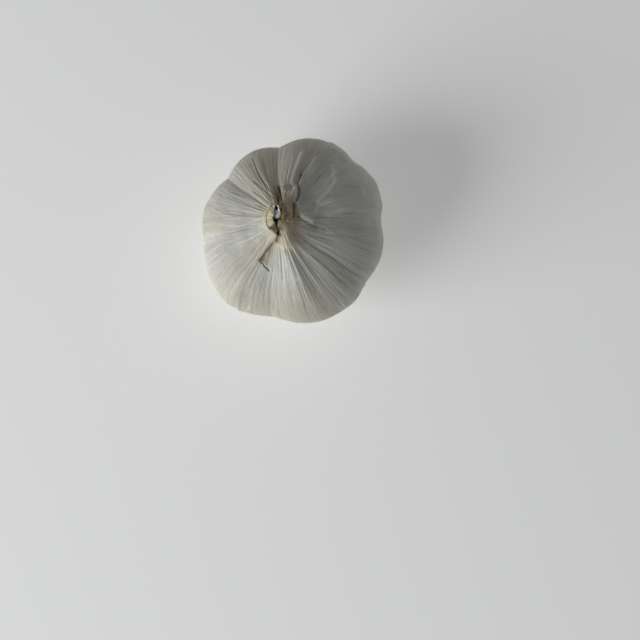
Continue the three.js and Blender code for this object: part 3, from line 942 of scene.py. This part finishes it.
def outer_sheath():
    i = np.linspace(0, 1, SKIN_COLUMNS + 1)[None, :]
    k = np.linspace(0, 1, SKIN_ROWS + 1)[:, None]
    turn = SKIN_START + (SKIN_END - SKIN_START) * i + 0 * k
    ragged = 0.5 + 0.3 * ring_noise(turn, 60, 21) + 0.2 * ring_noise(turn, 150, 22)
    along = SKIN_SPAN[0] + (SKIN_SPAN[1] - SKIN_SPAN[0]) * k
    along = along + SKIN_RAGGED * ragged * (1 - rise(k, 0, 0.15) - rise(k, 0.85, 1))
    step = (SKIN_SPAN[1] - SKIN_SPAN[0]) / SKIN_ROWS
    off_tear = (k - TEAR_ROW / SKIN_ROWS) * step * SKIN_ROWS

    first, second = skin_edges(along)
    wander = 0.7 * ring_noise(along * 360, 17, 23) + 0.3 * ring_noise(along * 360, 70, 24)
    near = np.maximum(0, 1 - i / 0.16)
    far = np.maximum(0, 1 - (1 - i) / 0.24)
    azimuth = turn + (first - SKIN_START + wander) * near + (second - SKIN_END + wander) * far
    from_edge = azimuth - azimuth[:, :1]
    to_edge = azimuth[:, -1:] - azimuth

    inside_mm = np.radians(from_edge) * outline_at(along)[0]
    along = tear_lips(along, off_tear, from_edge, step)
    edge_lift = 0.12 * (hump(from_edge / 2.5) + hump(to_edge / 2.5)) * (1 + ring_noise(along * 360, 11, 26))
    tucked = 0.42 * rise(along, 0.92, 0.96)
    lift = tear_lift(off_tear, inside_mm)
    points = surface(azimuth, along, SKIN_STANDS + lift + edge_lift - tucked)

    marks = skin_marks(azimuth, along)
    add_tear_marks(marks, azimuth, along, off_tear, from_edge, inside_mm)
    fine_edge = 0.45 * hump(from_edge / 0.6) + 0.25 * hump(to_edge / 0.6)
    marks["edge"] = np.clip(marks["edge"] + fine_edge, 0, 1)
    marks["fibre"] = fibre_place(azimuth, along)
    marks["slit"] = ((np.abs(off_tear) < 0.5 * step) & (tear_opening(from_edge) > 0)) * 1.0
    piece = grid_piece("outer_paper", points, marks)

    values = np.empty(len(piece.data.vertices))
    piece.data.attributes["slit"].data.foreach_get("value", values)
    on_slit = [any(values[v] > 0.5 for v in face.vertices) for face in piece.data.polygons]
    delete_faces(piece, on_slit)
    thicken(piece, SKIN_THICKNESS)
    hand_over(piece, outer_paper, "outer_sheath")


# ---- The neck ----


def cut_sheath():
    start, end = CUT_SHEATH["from"], CUT_SHEATH["to"]
    azimuth, k = np.meshgrid(np.linspace(start, end, CUT_COLUMNS + 1), np.linspace(0, 1, CUT_ROWS + 1))
    top = CUT_SHEATH["top"] - 0.5 * np.cos(np.radians(3 * azimuth)) ** 2 + 0.1 * ring_noise(azimuth, 50, 41)
    z = CUT_SHEATH["foot"] * (1 - k) + top * k
    spread = k**5
    wave = 0.1 * np.sin(np.radians(11 * azimuth)) + 0.05 * ring_noise(azimuth, 60, 42) - strip_pinch(azimuth)
    taper = np.minimum(1, np.minimum((azimuth - start) / 26, (end - azimuth) / 52)) ** 0.8
    outer = CUT_SHEATH["radius"] + 0.8 * spread + wave
    inner = outer - (CUT_SHEATH["wall"] + 1.5 * spread) * (0.25 + 0.75 * taper)
    crown = []
    for share in CUT_CROWN_SHARES:
        radius = outer[-1] * (1 - share) + inner[-1] * share
        height = z[-1] - CUT_LIP_DROP * (1 - share) + 0.15 * math.sin(share * math.pi)
        crown.append(column(azimuth[-1], radius, height))
    outside = column(azimuth, outer, z - CUT_LIP_DROP * spread)
    inside = column(azimuth, inner, z)
    points = np.concatenate((outside, np.stack(crown), inside[::-1]))

    ring = np.concatenate((k[:, :1], np.ones((len(crown), 1)), k[::-1, :1])) + 0 * azimuth[:1]
    shares = np.concatenate((np.zeros(CUT_ROWS + 1), CUT_CROWN_SHARES, np.ones(CUT_ROWS + 1)))
    across = shares[:, None] + 0 * azimuth[:1]
    rim = hump(across / 0.07) + hump((across - 1) / 0.05)
    low_end = 0.95 * rise(azimuth[:1], 208, 232)
    marks = {
        "fibre": fibre_place(azimuth[:1] * 0.6 + 0 * ring, 0.06 * across + 0.2 * ring),
        "shade": np.clip(rim * rise(ring, 0.9, 1) * 0.65 + (across > 0.97) * 0.4 + low_end, 0, 1),
    }
    piece = grid_piece("cut_sheath_stub", points, marks)
    close_ends(piece)
    hand_over(piece, cut_fibre, "cut_sheath")


STRAND_SIDES = 7
STRAND_ACROSS = (0.31, 0.87, 0.38)  # a direction that no strand runs in
STRAND_LOWEST = 0.03  # so that no root goes through the ground


def close_ends(piece):
    """Fills the open borders of a piece."""
    select_only(piece)
    bpy.ops.object.mode_set(mode="EDIT")
    bpy.ops.mesh.select_all(action="DESELECT")
    bpy.ops.mesh.select_mode(type="EDGE")
    bpy.ops.mesh.select_non_manifold()
    bpy.ops.mesh.edge_face_add()
    bpy.ops.mesh.select_all(action="SELECT")
    bpy.ops.mesh.quads_convert_to_tris()
    bpy.ops.mesh.normals_make_consistent(inside=False)
    bpy.ops.mesh.select_mode(type="VERT")
    bpy.ops.object.mode_set(mode="OBJECT")


def stem_bundle():
    """The body of the dried stem, whose top is rough and which is pale on its straw side."""
    turn = np.linspace(0, 360, STEM_COLUMNS + 1)
    jag = 0.7 * ring_noise(turn, 60, 61) + 0.4 * ring_noise(turn, 140, 62)
    ridges = 0.05 * np.sin(np.radians(7 * turn) + 0.8) + 0.035 * np.sin(np.radians(12 * turn) + 2)
    ridges = ridges + 0.05 * (np.abs(ring_noise(turn, 64, 63)) - 0.4)
    straw = towards(turn, 280, 60)
    foot = STEM_FOOT + 0 * turn
    rings = [leaning(STEM_CENTRE[0] + 0 * turn, STEM_CENTRE[1] + 0 * turn, foot)]
    shades = []
    for number, (wide, deep, level, rough, shade) in enumerate(STEM_RINGS):
        reach = 1 + ridges + 0.1 * rough * ring_noise(turn, 50, 70 + number)
        y = STEM_RADII[1] * deep * reach * np.sin(np.radians(turn))
        x = STEM_CENTRE[0] + STEM_SLANT * y + STEM_RADII[0] * wide * reach * np.cos(np.radians(turn))
        lumps = 0.35 * rough * ring_noise(turn, 24, 90 + number)
        rings.append(leaning(x, y, STEM_TOP + level + 0.25 * rough * jag + lumps))
        shade = shade * (1 - 0.7 * straw) + 0.4 * ring_noise(turn, 70, 80 + number)
        shades.append(np.clip(shade, 0, 1) * 0.85)
    points = np.stack(rings)
    shade = np.stack([shades[0], *shades])
    place = fibre_place(turn[None, :] * 3 + 0 * shade, np.linspace(0, 0.3, len(points))[:, None])
    pale = 0.6 * straw + 0 * shade
    bundle = grid_piece("stem_bundle", points, {"fibre": place, "shade": shade, "pale": pale})
    close_seams(bundle)
    return bundle


def neck_fibres():
    """Loose fibres that rise round the dried stem and fold over its top."""
    chance = np.random.default_rng(64)
    fibres = []
    for number in range(FIBRE_COUNT):
        azimuth = chance.uniform(225, 470)
        straw = float(towards(azimuth, 283, 40))
        reach = chance.uniform(0.9, 1.35) + 0.3 * straw
        start = leaning(*stem_spot(azimuth, reach), np.array(48.5 + chance.uniform(0, 0.15)))
        spot = stem_spot(azimuth + chance.uniform(-25, 25), 0.7)
        over = leaning(*spot, np.array(48.8 + chance.uniform(0, 0.25)))
        spot = stem_spot(azimuth + chance.uniform(-70, 70), chance.uniform(0, 0.5))
        end = leaning(*spot, np.array(STEM_TOP + chance.uniform(-0.3, 0.25)))
        path = np.array([start, (2 * start + over) / 3, over, (over + end) / 2, end])
        shade = chance.uniform(0, 0.8) * (1 - 0.9 * straw)
        pale = chance.uniform(0.4, 1) * straw
        thick = chance.uniform(0.06, 0.17)
        fibres.append(strand("fibre_%03d" % number, path, thick, shade, shade, pale))
    return fibres


def dried_stem():
    piece = join([stem_bundle(), membrane(), *neck_fibres()], "dried_stem_fibres")
    hand_over(piece, neck_fibre, "dried_stem")


def stem_spot(azimuth, reach):
    """Where a share of the dried stem's radius lies, seen from above."""
    turn = math.radians(azimuth)
    y = STEM_CENTRE[1] + STEM_RADII[1] * reach * math.sin(turn)
    return STEM_CENTRE[0] + STEM_SLANT * y + STEM_RADII[0] * reach * math.cos(turn), y


def membrane():
    """A scrap of pale skin that curls round the hole between the cut sheath and the dried stem."""
    turn = np.radians(np.linspace(75, -150, 31))[None, :]
    out = np.linspace(0, 1, 8)[:, None]
    low = rise(-turn, -0.2, 1.3)
    reach = 0.6 + (0.3 + 2.0 * low) * out + 0.06 * np.sin(5 * turn)
    x = -0.8 + 0.75 * reach * np.cos(turn)
    y = 2.85 + reach * np.sin(turn)
    z = STEM_TOP - 0.35 + 0.35 * out * (1 - 0.8 * low * out)
    z = z + 0.3 * np.cos(turn) + 0.08 * np.sin(6 * turn + 4 * out)
    points = leaning(x, y, z)
    white = np.clip(1.1 - low * out**4, 0, 1) + 0 * x
    scrap = grid_piece("membrane", points, {"fibre": points, "white": white})
    thicken(scrap, 0.15)
    return scrap


def strand(name, path, thick, shade_low, shade_high, pale=0.0):
    """One fibre or root along a path, tapered and closed at both ends."""
    around = np.linspace(0, 2 * math.pi, STRAND_SIDES + 1)[:, None]
    ways = np.gradient(path, axis=0)
    ways = ways / np.linalg.norm(ways, axis=1, keepdims=True)
    rings = []
    for step, (spot, way) in enumerate(zip(path, ways)):
        share = step / (len(path) - 1)
        girth = thick * (1 - 0.3 * share) * (0.12 if step in (0, len(path) - 1) else 1)
        one = np.cross(way, STRAND_ACROSS)
        one = one / np.linalg.norm(one)
        two = np.cross(way, one)
        rings.append(spot + girth * (np.cos(around) * one + np.sin(around) * two))
    points = np.stack(rings)
    points[..., 2] = np.maximum(points[..., 2], STRAND_LOWEST)
    shade = np.linspace(shade_low, shade_high, len(path))[:, None] + 0 * around.T
    piece = grid_piece(name, points, {"fibre": points * 1.5, "shade": shade, "pale": pale + 0 * shade})
    close_ends(piece)
    return piece


# ---- The root plate ----


def root_disc():
    """The plate itself, with an uneven side and underside."""
    turn = np.linspace(0, 360, ROOT_PLATE_COLUMNS + 1)
    rings = []
    shades = []
    for number, (radius, level) in enumerate(ROOT_PLATE_SECTION):
        rough = 0.12 * rise(radius, 4.9, 6) if level < 3 else 0
        bumps = ring_noise(turn, 40, 90 + number)
        rings.append(column(turn, radius * (1 + rough * 0.25 * bumps), level + rough * abs(bumps)))
        middle = hump(radius / 2.6) * 0.5 if level < 1 else 0.3
        shades.append((0.5 + 0.5 * ring_noise(turn, 26, 120 + number)) * 0.55 + middle)
    points = np.stack(rings)
    disc = grid_piece("root_plate_disc", points, {"fibre": points, "shade": np.clip(np.stack(shades), 0, 1)})
    close_seams(disc)
    return disc


def root(number, chance):
    """One trimmed root, which leaves the plate more steeply splayed the further out it stands."""
    out = (number + 0.5) / ROOT_COUNT
    turn = math.radians(number * GOLDEN_TURN + 14 * chance.uniform())
    radius = 5.6 + (ROOT_PLATE_RADIUS - 6.0) * out
    splay = math.radians(5 + 68 * out**2 + 14 * chance.uniform(-1, 1))
    length = 1.6 + 1.5 * out + 0.9 * chance.uniform()
    thick = 0.24 + 0.2 * chance.uniform()
    bend = chance.uniform(-0.35, 0.35)
    side = chance.uniform(-0.4, 0.4)
    spot = np.array((radius * math.cos(turn), radius * math.sin(turn), ROOT_START))
    outward = np.array((math.cos(turn), math.sin(turn), 0))
    across = np.array((-math.sin(turn), math.cos(turn), 0))
    path = [spot]
    for share in np.linspace(1 / ROOT_STEPS, 1, ROOT_STEPS):
        lean = splay + bend * share
        way = outward * math.sin(lean) + across * side * share + np.array((0, 0, -math.cos(lean)))
        spot = spot + way / np.linalg.norm(way) * (length / ROOT_STEPS)
        path.append(spot)
    dry = 0.75 * chance.uniform(0.3, 1)
    return strand("root_%02d" % number, np.array(path), thick, 0.1, dry)


def root_plate():
    disc = root_disc()
    chance = np.random.default_rng(23)
    roots = [root(number, chance) for number in range(ROOT_COUNT)]
    piece = join([disc, *roots], "root_plate_and_roots")
    hand_over(piece, root_fibre, "root_plate")


# ---- Stage: floor, light and camera ----

FLOOR_SIZE = 6.0
KEY_AZIMUTH = 209
KEY_ELEVATION = 22
KEY_DISTANCE = 1.2
KEY_SIZE = 0.9
KEY_POWER = 10.6
WORLD_STRENGTH = 0.16

BULB_MIDDLE = (0, 0, 22 * MM)
# The frame's centre looks at this point, to one side of the bulb.
AIM = (8.8 * MM, -29.7 * MM, 22 * MM)
CAMERA_ELEVATION = 85
CAMERA_DISTANCE = 0.42
CAMERA_LENS = 72.7


def floor():
    bpy.ops.object.select_all(action="DESELECT")
    bpy.ops.mesh.primitive_plane_add(size=FLOOR_SIZE)
    plane = bpy.context.object
    plane.name = "floor"
    paint = Finish("floor_paint")
    place = paint.node("ShaderNodeTexCoord", {}, {}, "Object")
    tone = paint.noise(place, 1.5)
    colour = paint.blend(tone, (0.93, 0.93, 0.925), (0.955, 0.955, 0.95))
    plane.data.materials.append(paint.surface(colour, 0.9, tone, 0.0001, gloss=0.1, lit=0.22))


def aimed(place, target):
    """The rotation of a light at a place that shines at a target."""
    return (Vector(target) - Vector(place)).to_track_quat("-Z", "Y").to_euler()


def light():
    azimuth, elevation = math.radians(KEY_AZIMUTH), math.radians(KEY_ELEVATION)
    place = (
        BULB_MIDDLE[0] + KEY_DISTANCE * math.cos(azimuth) * math.cos(elevation),
        BULB_MIDDLE[1] + KEY_DISTANCE * math.sin(azimuth) * math.cos(elevation),
        BULB_MIDDLE[2] + KEY_DISTANCE * math.sin(elevation),
    )
    data = bpy.data.lights.new("window_light", "AREA")
    data.shape = "DISK"
    data.size = KEY_SIZE
    data.energy = KEY_POWER
    data.color = (0.98, 0.99, 1.0)
    lamp = bpy.data.objects.new("window_light", data)
    lamp.location = place
    lamp.rotation_euler = aimed(place, BULB_MIDDLE)
    bpy.context.scene.collection.objects.link(lamp)
    world = bpy.data.worlds.new("room")
    world.use_nodes = True
    background = world.node_tree.nodes["Background"]
    background.inputs["Color"].default_value = (0.97, 0.98, 1.0, 1)
    background.inputs["Strength"].default_value = WORLD_STRENGTH
    bpy.context.scene.world = world
    bpy.context.scene.view_settings.view_transform = "Standard"


def camera():
    data = bpy.data.cameras.new("camera")
    data.lens = CAMERA_LENS
    data.sensor_width = 36
    data.clip_start = 0.01
    eye = bpy.data.objects.new("camera", data)
    elevation = math.radians(CAMERA_ELEVATION)
    eye.location = (
        AIM[0],
        AIM[1] - CAMERA_DISTANCE * math.cos(elevation),
        AIM[2] + CAMERA_DISTANCE * math.sin(elevation),
    )
    eye.rotation_euler = (math.radians(90 - CAMERA_ELEVATION), 0, 0)
    bpy.context.scene.collection.objects.link(eye)
    bpy.context.scene.camera = eye


camera()
light()
floor()
sheathed_cloves()
outer_sheath()
cut_sheath()
dried_stem()
root_plate()
